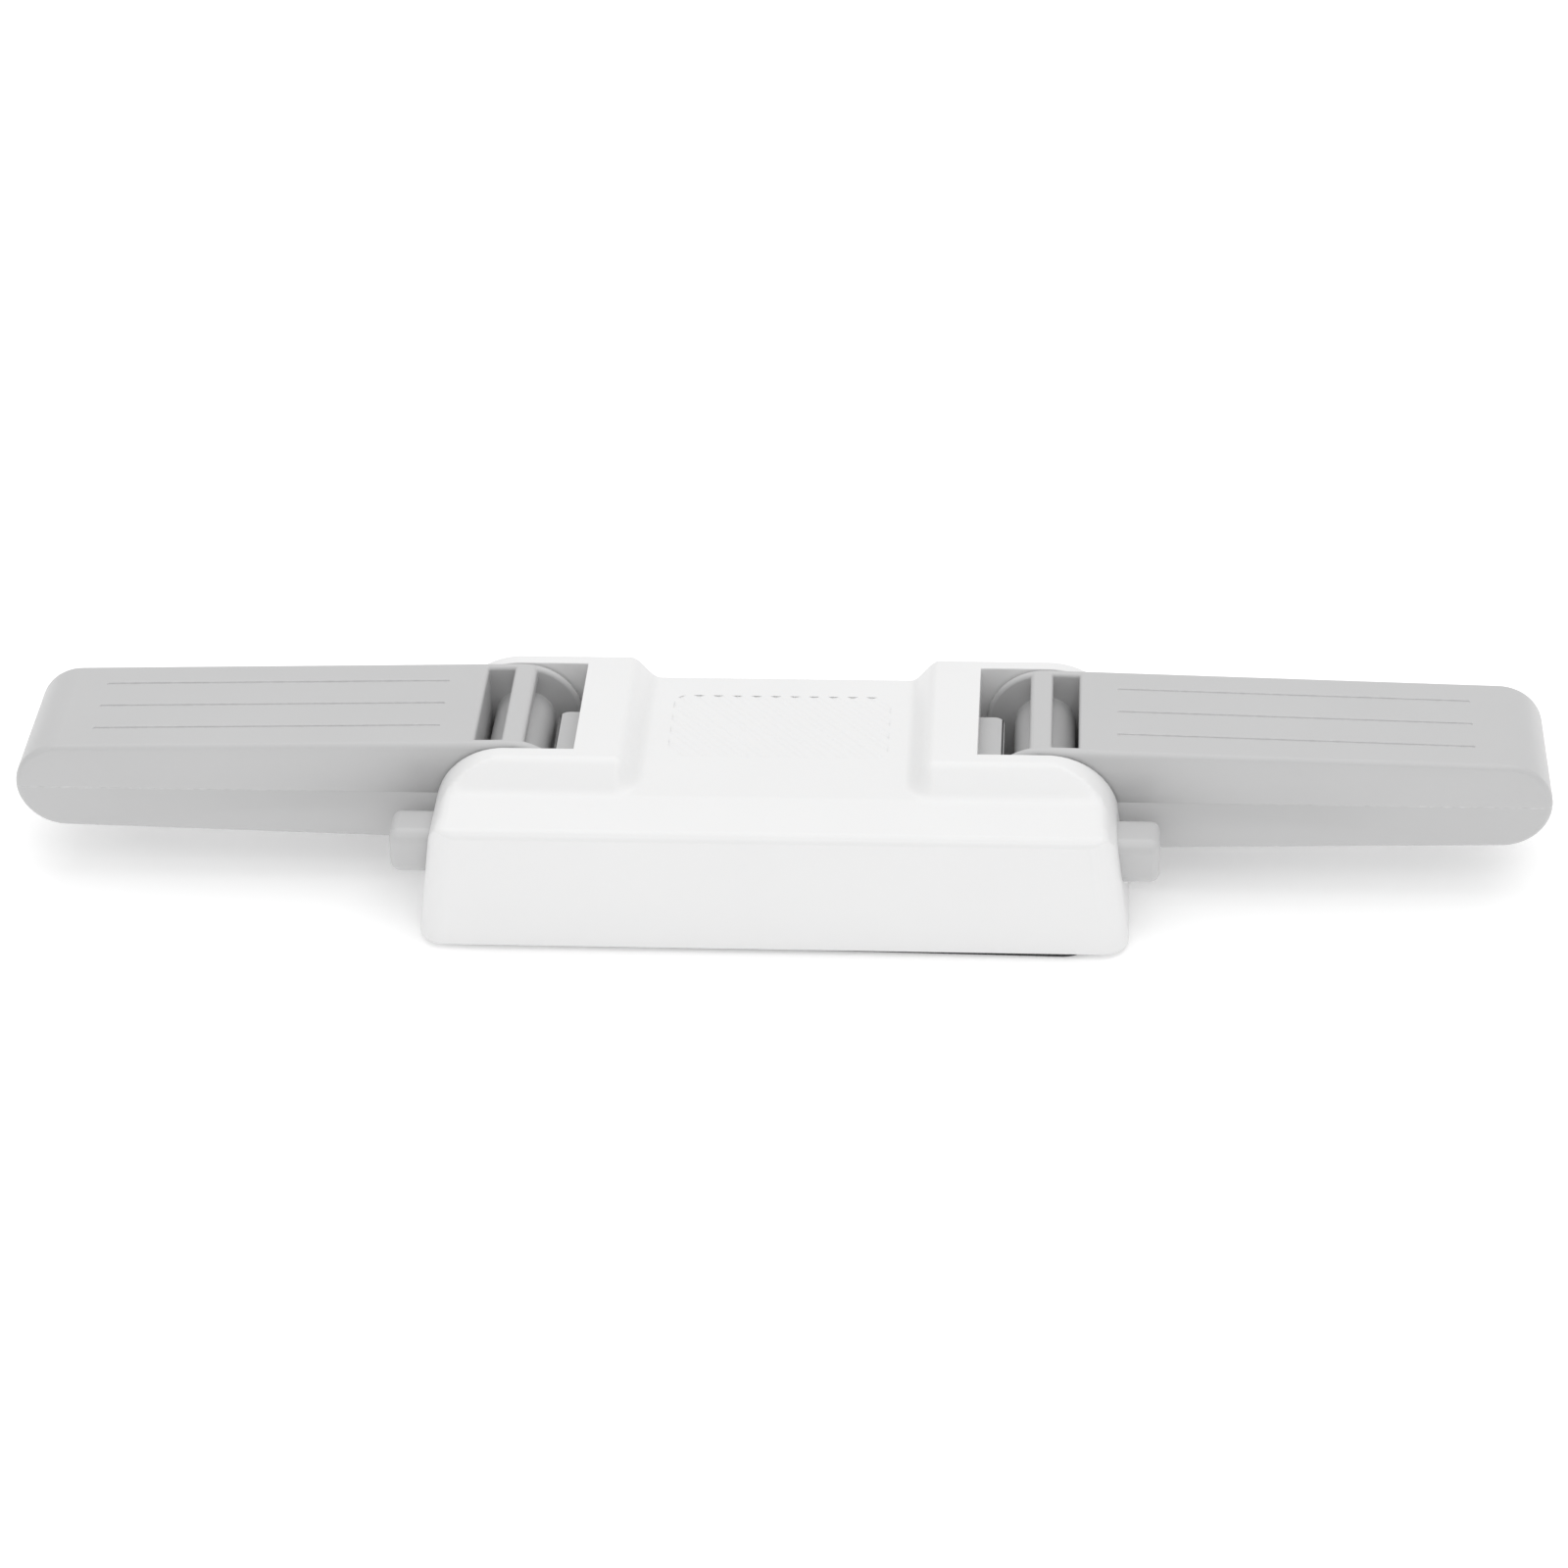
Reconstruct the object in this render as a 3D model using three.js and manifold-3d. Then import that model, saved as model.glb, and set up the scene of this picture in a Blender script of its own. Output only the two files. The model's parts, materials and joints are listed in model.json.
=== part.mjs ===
// Stair gate latch: a moulded base with a folding arm hinged in a bay at each end.
// Each arm folds up through a right angle, where a sprung tongue drops into the
// window beside its hinge. A push button in each end of the base draws that tongue
// back and lets the arm down again. The base is stuck down by a pad on its underside.
//
// Millimetres. X runs along the latch, Y away from the user, Z up.

import * as THREE from 'three';
import { mergeVertices } from 'three/addons/utils/BufferGeometryUtils.js';
import Module from 'manifold-3d';

const wasm = await Module();
wasm.setup();

// Base. Heights are measured from the bottom edge of the housing.
const baseHalfLength = 50.5;
const baseFront = -27.55;
const baseBack = 14.2;
const endDraft = 0.13;
const faceDraft = 0.048;
const backDraft = 0.03;
const bossTop = 23;
const saddleFloor = 19.5;
const shelfEdge = 18.5;
const shoulderRadius = 10.5;
const saddleHalfWidth = 19.2;
const bossInner = 21.5;
const cornerRadius = 3.8;
const wall = 2.2;
const galleryCeiling = 16.4;
const roomCeiling = 17;
const roomHalfWidth = 26.5;
const galleryFar = -13.4;
const galleryNear = -24.6;
const galleryHalfLength = 46.6;

// Hatched grip in the middle of the saddle.
const gripHalfLength = 15.8;
const gripNear = -7.6;
const gripFar = 8.45;
const gripPitch = 2.8;
const gripAngle = -50;
const gripDepth = 0.25;
const gripCornerRadius = 2;
const gripGrooveCount = 17;

// Hinge bays and pivots.
const bayInner = 28.7;
const bayHalfWidth = 11.27;
const bayFloor = 6;
const pivotX = 38.1;
const pivotZ = 14.85;
const pinRadius = 1.5;
const pinHole = 1.8;

// Arms, measured from the pivot.
const armHalfWidth = 10.95;
const armLength = 110 - pivotX;
const noseRadius = 8.5;
const tipRadius = 6.85;
const armEdge = 0.9;
const armSkin = 2;
const cheekInner = 9.4;
const hubRadius = 4.4;
const barInner = -2.15;
const windowInner = 1.12;
const windowOuter = 4.86;
const hubFloorInner = -5.4;
const armHollowStart = 9.4;
const armSeamStart = 10.2;
const armSeamGap = 0.2;
const armScrewPlaces = [19, 57];
const armScrewHead = -4.8;
const armGrooveLength = 50.5;
const armGrooveWidth = 0.5;
const armGrooveDepth = 0.2;
const armGrooveMiddle = 35.6;
const armGroovePlaces = [-5.9, 0, 5.9];

// Release buttons and tongues.
const buttonEnd = 54.6;
const buttonNear = -21.4;
const buttonFar = -14.2;
const buttonBottom = 7.6;
const buttonTop = 14.7;
const buttonCorner = 1.6;
const buttonEdge = 0.9;
const flangeOuter = 46.3;
const flangeInner = 44.9;
const buttonTravel = 3.8;
const sliderAxisY = (buttonNear + buttonFar) / 2;
const sliderAxisZ = 10.8;
const webInner = 24.2;
const webOuter = 26.2;
const tongueEnd = 32.3;
const tongueBack = 23.4;
const tongueNear = -8;
const tongueFar = 4.3;
const tongueBottom = 16.2;
const tongueTop = 19.1;
const tongueNose = 0.3;
const tongueGrooveTop = 17.2;
const springStop = 10.4;
const springRib = 1.8;
const stopRib = 1.4;
const stopRibBottom = 14.4;
const springRadius = 2.2;
const springWire = 0.3;
const springTurns = 7;

// Cover, pad and screws.
const padThickness = 0.7;
const padStand = 0.8;
const coverHalfLength = 47.9;
const coverScrews = [[-14, 8.3], [14, 8.3], [-5, -19.4], [5, -19.4]];
const clearance = 0.3;

// ---- Shapes ----

// Closed outline through corners given as [x, y, radius], anti-clockwise.
// A list that starts with a sharp corner has a sharp second corner too.
function outline(corners) {
  const shape = new THREE.Shape();
  corners.forEach(([x, y, radius = 0], i) => {
    const here = new THREE.Vector2(x, y);
    if (radius === 0) {
      if (i === 0) shape.moveTo(x, y);
      else shape.lineTo(x, y);
      return;
    }
    const last = corners.at(i - 1);
    const next = corners[(i + 1) % corners.length];
    const back = new THREE.Vector2(last[0], last[1]).sub(here).normalize();
    const ahead = new THREE.Vector2(next[0], next[1]).sub(here).normalize();
    const half = Math.acos(back.dot(ahead)) / 2;
    const reach = radius / Math.tan(half);
    const middle = back.clone().add(ahead).normalize();
    const centre = here.clone().addScaledVector(middle, radius / Math.sin(half));
    const from = here.clone().addScaledVector(back, reach).sub(centre);
    const to = here.clone().addScaledVector(ahead, reach).sub(centre);
    const clockwise = back.cross(ahead) > 0;
    shape.absarc(centre.x, centre.y, radius, from.angle(), to.angle(), clockwise);
  });
  return shape;
}

function roundedRectangle(x0, x1, y0, y1, radius) {
  return outline([[x0, y0, radius], [x1, y0, radius], [x1, y1, radius], [x0, y1, radius]]);
}

function solidOf(geometry) {
  const plain = geometry.clone();
  plain.deleteAttribute('normal');
  plain.deleteAttribute('uv');
  const merged = mergeVertices(plain);
  return new wasm.Manifold(new wasm.Mesh({
    numProp: 3,
    vertProperties: Float32Array.from(merged.attributes.position.array),
    triVerts: Uint32Array.from(merged.index.array),
  }));
}

function geometryOf(solid) {
  const mesh = solid.getMesh();
  const geometry = new THREE.BufferGeometry();
  geometry.setAttribute('position', new THREE.BufferAttribute(mesh.vertProperties, 3));
  geometry.setIndex(new THREE.BufferAttribute(mesh.triVerts, 1));
  return geometry;
}

// Prism of an outline, from one height to another, with its end edges rounded by edge.
function prism(shape, from, to, { edge = 0, smooth = 4, edgeSmooth = 3 } = {}) {
  const geometry = new THREE.ExtrudeGeometry(shape, {
    depth: to - from - 2 * edge,
    curveSegments: smooth,
    bevelEnabled: edge > 0,
    bevelThickness: edge,
    bevelSize: edge,
    bevelOffset: -edge,
    bevelSegments: edgeSmooth,
  });
  return geometry.translate(0, 0, from + edge);
}

// The outline is drawn in X and Z, and the prism runs along Y.
function prismY(shape, from, to, options) {
  return solidOf(prism(shape, -to, -from, options).rotateX(Math.PI / 2));
}

// The outline is drawn in Y and Z, and the prism runs along X.
function prismX(shape, from, to, options) {
  const turn = new THREE.Matrix4().makeBasis(
    new THREE.Vector3(0, 1, 0),
    new THREE.Vector3(0, 0, 1),
    new THREE.Vector3(1, 0, 0),
  );
  return solidOf(prism(shape, from, to, options).applyMatrix4(turn));
}

function prismZ(shape, from, to, options) {
  return solidOf(prism(shape, from, to, options));
}

function box(x0, x1, y0, y1, z0, z1) {
  const geometry = new THREE.BoxGeometry(x1 - x0, y1 - y0, z1 - z0);
  return solidOf(geometry.translate((x0 + x1) / 2, (y0 + y1) / 2, (z0 + z1) / 2));
}

function roundAlongY(radius, x, z, from, to, sides = 20) {
  const geometry = new THREE.CylinderGeometry(radius, radius, to - from, sides);
  return solidOf(geometry.translate(x, (from + to) / 2, z));
}

function roundAlongZ(radius, x, y, from, to, sides = 16) {
  const geometry = new THREE.CylinderGeometry(radius, radius, to - from, sides);
  return solidOf(geometry.rotateX(Math.PI / 2).translate(x, y, (from + to) / 2));
}

function roundAlongX(radius, y, z, from, to, sides = 16) {
  const geometry = new THREE.CylinderGeometry(radius, radius, to - from, sides);
  return solidOf(geometry.rotateZ(Math.PI / 2).translate((from + to) / 2, y, z));
}

function mirroredX(geometry) {
  const copy = geometry.clone().scale(-1, 1, 1);
  const index = copy.index.array;
  for (let i = 0; i < index.length; i += 3) {
    [index[i], index[i + 1]] = [index[i + 1], index[i]];
  }
  return copy;
}

// ---- Base ----

// Plan block whose four sides lean in towards the top, as a moulding needs.
function draftedBlock() {
  const spare = 0.05;
  const shape = roundedRectangle(
    -baseHalfLength - spare, baseHalfLength + spare,
    baseFront - spare, baseBack + spare, cornerRadius,
  );
  const geometry = prism(shape, 0, bossTop + 1);
  const middle = (baseFront + baseBack) / 2;
  const position = geometry.attributes.position;
  for (let i = 0; i < position.count; i++) {
    const z = position.getZ(i);
    const y = position.getY(i);
    const lean = y < middle ? faceDraft / (middle - baseFront) : backDraft / (baseBack - middle);
    position.setX(i, position.getX(i) * (1 - z * endDraft / baseHalfLength));
    position.setY(i, middle + (y - middle) * (1 - z * lean));
  }
  return solidOf(geometry);
}

// What the front shows: a shoulder at each end, two bosses and the saddle between them.
function frontProfile() {
  const shoulderX = baseHalfLength - endDraft * bossTop;
  const half = [
    [shoulderX, bossTop, shoulderRadius],
    [bossInner, bossTop, 2],
    [saddleHalfWidth, saddleFloor, 1.8],
  ];
  const other = half.map(([x, z, radius]) => [-x, z, radius]).reverse();
  const corners = [[-baseHalfLength, 0], [baseHalfLength, 0], ...half, ...other];
  return prismY(outline(corners), baseFront - 1, baseBack + 1, { smooth: 5 });
}

// What the end shows: the boss, a ramp down to the shelf, and the front face.
function endProfile() {
  const face = baseFront + faceDraft * shelfEdge;
  const shape = outline([
    [baseFront, 0],
    [baseBack, 0],
    [baseBack - backDraft * bossTop, bossTop, 0.8],
    [-13.8, bossTop, 2],
    [-17.6, saddleFloor, 3],
    [face, shelfEdge, 1.5],
  ]);
  return prismX(shape, -baseHalfLength - 1, baseHalfLength + 1, { smooth: 3 });
}

function gripGrooves() {
  const patch = prismZ(
    roundedRectangle(-gripHalfLength, gripHalfLength, gripNear, gripFar, gripCornerRadius),
    saddleFloor - gripDepth, saddleFloor + 1,
  );
  const middle = (gripNear + gripFar) / 2;
  const grooveWidth = gripPitch * Math.sin(THREE.MathUtils.degToRad(-gripAngle)) * 0.5;
  let grooves = null;
  for (let i = 0; i < gripGrooveCount; i++) {
    const place = (i - (gripGrooveCount - 1) / 2) * gripPitch;
    const groove = new THREE.BoxGeometry(40, grooveWidth, 4)
      .rotateZ(THREE.MathUtils.degToRad(gripAngle))
      .translate(place, middle, saddleFloor);
    const cut = solidOf(groove);
    grooves = grooves ? grooves.add(cut) : cut;
  }
  return patch.intersect(grooves);
}

function housing() {
  let body = draftedBlock().intersect(frontProfile()).intersect(endProfile());
  body = body.subtract(gripGrooves());

  // Recess for the cover, then the rooms above it.
  const rim = 0.3;
  body = body.subtract(prismZ(
    roundedRectangle(-coverHalfLength - rim, coverHalfLength + rim, -25.5, 12, 2), -1, 2.4, { smooth: 2 },
  ));
  const half = galleryHalfLength;
  body = body.subtract(box(-half, half, galleryNear, galleryFar, 2, galleryCeiling));
  const roomFar = baseBack - backDraft * bossTop - wall - 0.2;
  body = body.subtract(box(-roomHalfWidth, roomHalfWidth, galleryFar - 1, roomFar, 2, roomCeiling));

  for (const side of [-1, 1]) {
    const across = (x0, x1, ...rest) => {
      const [low, high] = side < 0 ? [-x1, -x0] : [x0, x1];
      return box(low, high, ...rest);
    };
    // Hinge bay, open at the top and at the end.
    body = body.subtract(across(bayInner, 60, -bayHalfWidth, bayHalfWidth, bayFloor, 40));
    // Room behind the tongue, and the window that it comes through.
    const nearWay = tongueNear - clearance;
    const farWay = tongueFar + clearance;
    const backWay = tongueBack - buttonTravel - clearance;
    body = body.subtract(across(backWay, roomHalfWidth + 0.2, nearWay, farWay, 15, tongueTop + 0.2));
    body = body.subtract(across(
      roomHalfWidth - 0.5, bayInner + 1, nearWay, farWay, tongueBottom - clearance, tongueTop + 0.2,
    ));
    // Opening for the button.
    const slot = roundedRectangle(
      buttonNear - clearance, buttonFar + clearance,
      buttonBottom - clearance, buttonTop + clearance, buttonCorner,
    );
    const slotFrom = side < 0 ? -60 : galleryHalfLength - 1;
    const slotTo = side < 0 ? 1 - galleryHalfLength : 60;
    body = body.subtract(prismX(slot, slotFrom, slotTo, { smooth: 2 }));
    // Pin holes: through the near wall, blind in the far one.
    body = body.subtract(roundAlongY(pinHole, side * pivotX, pivotZ, galleryFar - 1, 12.7));
    // Rib that the spring pushes on, and a rib that stops the slider.
    const bite = 0.2;
    body = body.add(across(
      springStop - springRib, springStop, galleryNear - bite, galleryFar + 2 * bite, 3, roomCeiling + bite,
    ));
    const stop = flangeInner - buttonTravel - clearance;
    body = body.add(across(
      stop - stopRib, stop, galleryNear - bite, galleryFar + bite, stopRibBottom, galleryCeiling + bite,
    ));
  }

  for (const [x, y] of coverScrews) {
    body = body.add(roundAlongZ(2.7, x, y, 2.5, roomCeiling + 0.2));
    body = body.subtract(roundAlongZ(1.15, x, y, 2, 12, 12));
  }
  return body;
}

function cover() {
  const shape = roundedRectangle(-coverHalfLength, coverHalfLength, -25.2, 11.7, 1.8);
  let plate = prismZ(shape, 0.2, 2.1, { smooth: 2 });
  for (const [x, y] of coverScrews) {
    plate = plate.subtract(roundAlongZ(1.3, x, y, 0, 3, 12));
    plate = plate.subtract(roundAlongZ(2.6, x, y, 0, 1.3));
  }
  return plate;
}

function pad() {
  const shape = roundedRectangle(-45.8, 45.8, -19, 19, 4.5);
  const geometry = prism(shape, -padStand, padThickness - padStand, { smooth: 3 });
  return solidOf(geometry.rotateZ(THREE.MathUtils.degToRad(-1)).translate(0, -7.3, 0));
}

// Cross-head screw pointing up, with its head's outer face at the origin.
function screw(length, headRadius, headHeight, shankRadius) {
  const profile = [
    [0, 0],
    [headRadius * 0.8, 0],
    [headRadius, headHeight * 0.4],
    [headRadius, headHeight],
    [shankRadius, headHeight],
    [shankRadius, length - 1],
    [shankRadius * 0.4, length],
    [0, length],
  ].map(([r, y]) => new THREE.Vector2(r, y));
  let body = solidOf(new THREE.LatheGeometry(profile, 12).rotateX(Math.PI / 2));
  const arm = headRadius * 0.6;
  body = body.subtract(box(-arm, arm, -0.25, 0.25, -1, headHeight * 0.6));
  body = body.subtract(box(-0.25, 0.25, -arm, arm, -1, headHeight * 0.6));
  return body;
}

// ---- One side of the latch, drawn for the end on +X ----

function armOutline(nose, tip) {
  const span = armLength - tipRadius;
  const turn = Math.acos((nose - tip) / span);
  const shape = new THREE.Shape();
  shape.absarc(0, 0, nose, turn, 2 * Math.PI - turn, false);
  shape.absarc(span, 0, tip, -turn, turn, false);
  return shape;
}

function armBlank() {
  const shape = armOutline(noseRadius, tipRadius);
  return prismY(shape, -armHalfWidth, armHalfWidth, { edge: armEdge, smooth: 10 });
}

function armHollow() {
  const shape = armOutline(noseRadius - armSkin, tipRadius - armSkin);
  const half = armHalfWidth - armSkin - 0.25;
  const inside = prismY(shape, -half, half, { smooth: 6 });
  return inside.intersect(box(armHollowStart, 100, -20, 20, -20, 20));
}

// Upper half of the arm with its hinge end: two round cheeks joined by the hub,
// the cross bar over the hub, and the window for the tongue behind the bar.
function armShell() {
  const blank = armBlank();
  let room = box(-20, windowOuter, -cheekInner, cheekInner, -20, 20);
  const barBottom = noseRadius - armSkin;
  room = room.subtract(box(barInner, windowInner, -20, 20, barBottom, 20));
  room = room.subtract(box(hubFloorInner, 20, -20, 20, -20, -barBottom));
  room = room.subtract(roundAlongY(hubRadius, 0, 0, -20, 20, 24));
  let shell = blank.subtract(room).subtract(armHollow());
  shell = shell.subtract(box(armSeamStart, 100, -20, 20, -20, 0));
  for (const x of armScrewPlaces) {
    shell = shell.add(roundAlongZ(2.5, x, 0, 0.3, 6, 12));
    shell = shell.subtract(roundAlongZ(1.15, x, 0, 0, 5, 12));
  }
  shell = shell.subtract(roundAlongY(pinHole, 0, 0, -20, 20));

  // Three fine grooves along the top face.
  const turn = Math.acos((noseRadius - tipRadius) / (armLength - tipRadius));
  const surface = (noseRadius - armGrooveMiddle * Math.cos(turn)) / Math.sin(turn);
  for (const y of armGroovePlaces) {
    const groove = new THREE.BoxGeometry(armGrooveLength, armGrooveWidth, 2 * armGrooveDepth)
      .rotateY(Math.PI / 2 - turn)
      .translate(armGrooveMiddle, y, surface);
    shell = shell.subtract(solidOf(groove));
  }
  return shell;
}

// Lower half of the arm beyond the hinge, held by two screws from below.
function armCover() {
  const below = box(armSeamStart + armSeamGap, 100, -20, 20, -20, -armSeamGap);
  let shell = armBlank().intersect(below).subtract(armHollow());
  for (const x of armScrewPlaces) {
    shell = shell.add(roundAlongZ(3.3, x, 0, -6.6, -armSeamGap, 12));
    shell = shell.subtract(roundAlongZ(2.5, x, 0, -10, -3.4));
    shell = shell.subtract(roundAlongZ(1.3, x, 0, -4, 1, 12));
  }
  return shell;
}

function pin() {
  const length = 25.4;
  const chamfer = 0.4;
  const profile = [
    [0, 0],
    [pinRadius - chamfer, 0],
    [pinRadius, chamfer],
    [pinRadius, length - chamfer],
    [pinRadius - chamfer, length],
    [0, length],
  ].map(([r, y]) => new THREE.Vector2(r, y));
  return solidOf(new THREE.LatheGeometry(profile, 16));
}

// Button head, its flange inside the wall, the bar, and the web that carries the tongue.
function releaseButton() {
  const head = roundedRectangle(buttonNear, buttonFar, buttonBottom, buttonTop, buttonCorner);
  let slider = prismX(head, 45, buttonEnd, { edge: buttonEdge });
  slider = slider.add(box(flangeInner, flangeOuter, -22.9, -13.7, 5.9, 16.1));
  slider = slider.add(box(webOuter - 0.2, 45.1, -20.4, -15.2, 8.2, 13.4));
  slider = slider.add(box(webInner, webOuter, -20.4, tongueFar - 0.6, 3.4, 15.3));
  slider = slider.add(box(webInner, webOuter, tongueNear + 0.6, tongueFar - 0.6, 15, 16.9));
  slider = slider.add(roundAlongX(1.3, sliderAxisY, sliderAxisZ, webInner - 2.4, webInner + 0.2));
  return slider;
}

// Block with a groove that clips over the web, its outer corners rounded,
// and its upper outer edge chamfered so that the arm's bar can push it back.
function latchTongue() {
  const shape = outline([
    [tongueBack, tongueFar],
    [tongueBack, tongueNear],
    [tongueEnd, tongueNear, 1.2],
    [tongueEnd, tongueFar, 1.2],
  ]);
  let block = prismZ(shape, tongueBottom, tongueTop, { smooth: 2 });
  const nose = outline([
    [20, 10],
    [40, 10],
    [tongueEnd, tongueTop - tongueNose],
    [tongueEnd - tongueNose, tongueTop],
    [20, tongueTop],
  ]);
  block = block.intersect(prismY(nose, -20, 20));
  const groove = box(
    webInner - clearance, webOuter + clearance,
    tongueNear + clearance, tongueFar - clearance, 10, tongueGrooveTop,
  );
  return block.subtract(groove);
}

class Helix extends THREE.Curve {
  getPoint(t) {
    const turn = 2 * Math.PI * springTurns * t;
    const length = webInner - springStop - 2 * (clearance + springWire);
    return new THREE.Vector3(
      springStop + clearance + springWire + length * t,
      sliderAxisY + springRadius * Math.cos(turn),
      sliderAxisZ + springRadius * Math.sin(turn),
    );
  }
}

function buttonSpring() {
  const section = new THREE.Shape();
  section.absarc(0, 0, springWire, 0, 2 * Math.PI, false);
  const geometry = new THREE.ExtrudeGeometry(section, {
    steps: springTurns * 12,
    curveSegments: 3,
    extrudePath: new Helix(),
  });
  return solidOf(geometry);
}

// ---- Materials ----

const finish = (color, roughness, metalness = 0) => ({ color, roughness, metalness });
const whitePlastic = finish(0xf0f0ef, 0.35);
const greyPlastic = finish(0xcbcbcb, 0.4);
const blackFoam = finish(0x3a3a3a, 0.9);
const steel = finish(0xa8a8a8, 0.35, 1);

// ---- Assembly ----

function named(name, geometry, look) {
  const mesh = new THREE.Mesh(geometry, new THREE.MeshStandardMaterial(look));
  mesh.name = name;
  return mesh;
}

const latch = new THREE.Group();
latch.position.set(0, -(baseFront + baseBack) / 2, padStand);
latch.add(named('base_housing', geometryOf(housing()), whitePlastic));
latch.add(named('base_cover', geometryOf(cover()), whitePlastic));
latch.add(named('foot_pad', geometryOf(pad()), blackFoam));

coverScrews.forEach(([x, y], i) => {
  const mesh = named(`cover_screw_${i + 1}`, geometryOf(screw(10, 2.3, 0.9, 0.85)), steel);
  mesh.position.set(x, y, 0.2);
  latch.add(mesh);
});

const sideParts = {
  armShell: geometryOf(armShell()),
  armCover: geometryOf(armCover()),
  releaseButton: geometryOf(releaseButton()),
  latchTongue: geometryOf(latchTongue()),
  buttonSpring: geometryOf(buttonSpring()),
};

for (const [side, word] of [[-1, 'left'], [1, 'right']]) {
  const handed = (geometry) => (side < 0 ? mirroredX(geometry) : geometry);

  const arm = new THREE.Group();
  arm.position.set(side * pivotX, 0, pivotZ);
  arm.add(named(`arm_shell_${word}`, handed(sideParts.armShell), greyPlastic));
  arm.add(named(`arm_cover_${word}`, handed(sideParts.armCover), greyPlastic));
  armScrewPlaces.forEach((x, i) => {
    const mesh = named(`arm_screw_${word}_${i + 1}`, geometryOf(screw(9, 2.1, 1.2, 0.85)), steel);
    mesh.position.set(side * x, 0, armScrewHead);
    arm.add(mesh);
  });
  latch.add(arm);

  const hingePin = named(`pivot_pin_${word}`, geometryOf(pin()), steel);
  hingePin.position.set(side * pivotX, -13.2, pivotZ);
  latch.add(hingePin);

  const button = new THREE.Group();
  button.add(named(`release_button_${word}`, handed(sideParts.releaseButton), greyPlastic));
  button.add(named(`latch_tongue_${word}`, handed(sideParts.latchTongue), greyPlastic));
  latch.add(button);
  latch.add(named(`button_spring_${word}`, handed(sideParts.buttonSpring), steel));
}

export default latch;
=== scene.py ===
"""Stair gate latch: a white moulded base, two grey folding arms, and the buttons and tongues that hold them.

The sections follow the object as it is put together. Lengths named in millimetres are turned to metres
once, when a piece is set in its place.
"""
import json
import math

import bmesh
import bpy
from mathutils import Matrix, Vector


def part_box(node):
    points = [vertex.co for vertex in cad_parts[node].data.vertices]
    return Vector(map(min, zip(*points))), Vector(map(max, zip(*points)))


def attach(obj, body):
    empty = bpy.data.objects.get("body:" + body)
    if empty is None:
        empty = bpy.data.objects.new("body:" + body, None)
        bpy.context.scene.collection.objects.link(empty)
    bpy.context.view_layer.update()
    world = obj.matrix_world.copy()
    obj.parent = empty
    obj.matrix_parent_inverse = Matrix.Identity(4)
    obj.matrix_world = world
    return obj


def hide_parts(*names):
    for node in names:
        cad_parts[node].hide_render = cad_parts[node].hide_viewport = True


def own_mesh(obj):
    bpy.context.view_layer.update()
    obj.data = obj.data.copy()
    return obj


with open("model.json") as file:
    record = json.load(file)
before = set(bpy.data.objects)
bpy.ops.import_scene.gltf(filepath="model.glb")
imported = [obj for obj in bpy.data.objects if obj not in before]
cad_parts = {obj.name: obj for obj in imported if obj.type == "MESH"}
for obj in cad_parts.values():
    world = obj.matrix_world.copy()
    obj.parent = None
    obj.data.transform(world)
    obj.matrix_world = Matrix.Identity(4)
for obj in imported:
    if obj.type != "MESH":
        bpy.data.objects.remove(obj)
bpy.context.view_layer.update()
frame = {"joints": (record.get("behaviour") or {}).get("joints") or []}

# ---------------------------------------------------------------------------------------------------
# Housing. One injection moulding in white ABS, open below, with a semi-gloss tool finish. Two bosses
# hold the hinge bays, and the low saddle between them has a hatched patch that grips the gate's edge.
# ---------------------------------------------------------------------------------------------------

mm = 0.001
housing_low, housing_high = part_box("base_housing")
hinge = {joint["child"]: Vector(joint["pos_m"]) for joint in frame["joints"] if joint["type"] == "hinge"}
arm_line = hinge["arm_right"].y
bottom_edge = housing_low.z
set_down = Matrix.Translation((0, arm_line, bottom_edge)) @ Matrix.Scale(mm, 4)

# Millimetres, from the bottom edge, the middle of the latch and the line of the arms.
base_half = housing_high.x / mm
base_front = (housing_low.y - arm_line) / mm
base_back = (housing_high.y - arm_line) / mm
boss_top = (housing_high.z - bottom_edge) / mm
pivot_x = hinge["arm_right"].x / mm
pivot_z = (hinge["arm_right"].z - bottom_edge) / mm
saddle_floor = 19.5
shelf_edge = 18.5
end_lean = 0.13
front_lean = 0.048
back_lean = 0.03
bay_inner = 28.7
bay_half = 11.27
bay_floor = 6.0


def piece_from(shape, name):
    """Object made of a finished bmesh."""
    mesh = bpy.data.meshes.new(name)
    shape.to_mesh(mesh)
    shape.free()
    piece = bpy.data.objects.new(name, mesh)
    bpy.context.scene.collection.objects.link(piece)
    return piece


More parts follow.
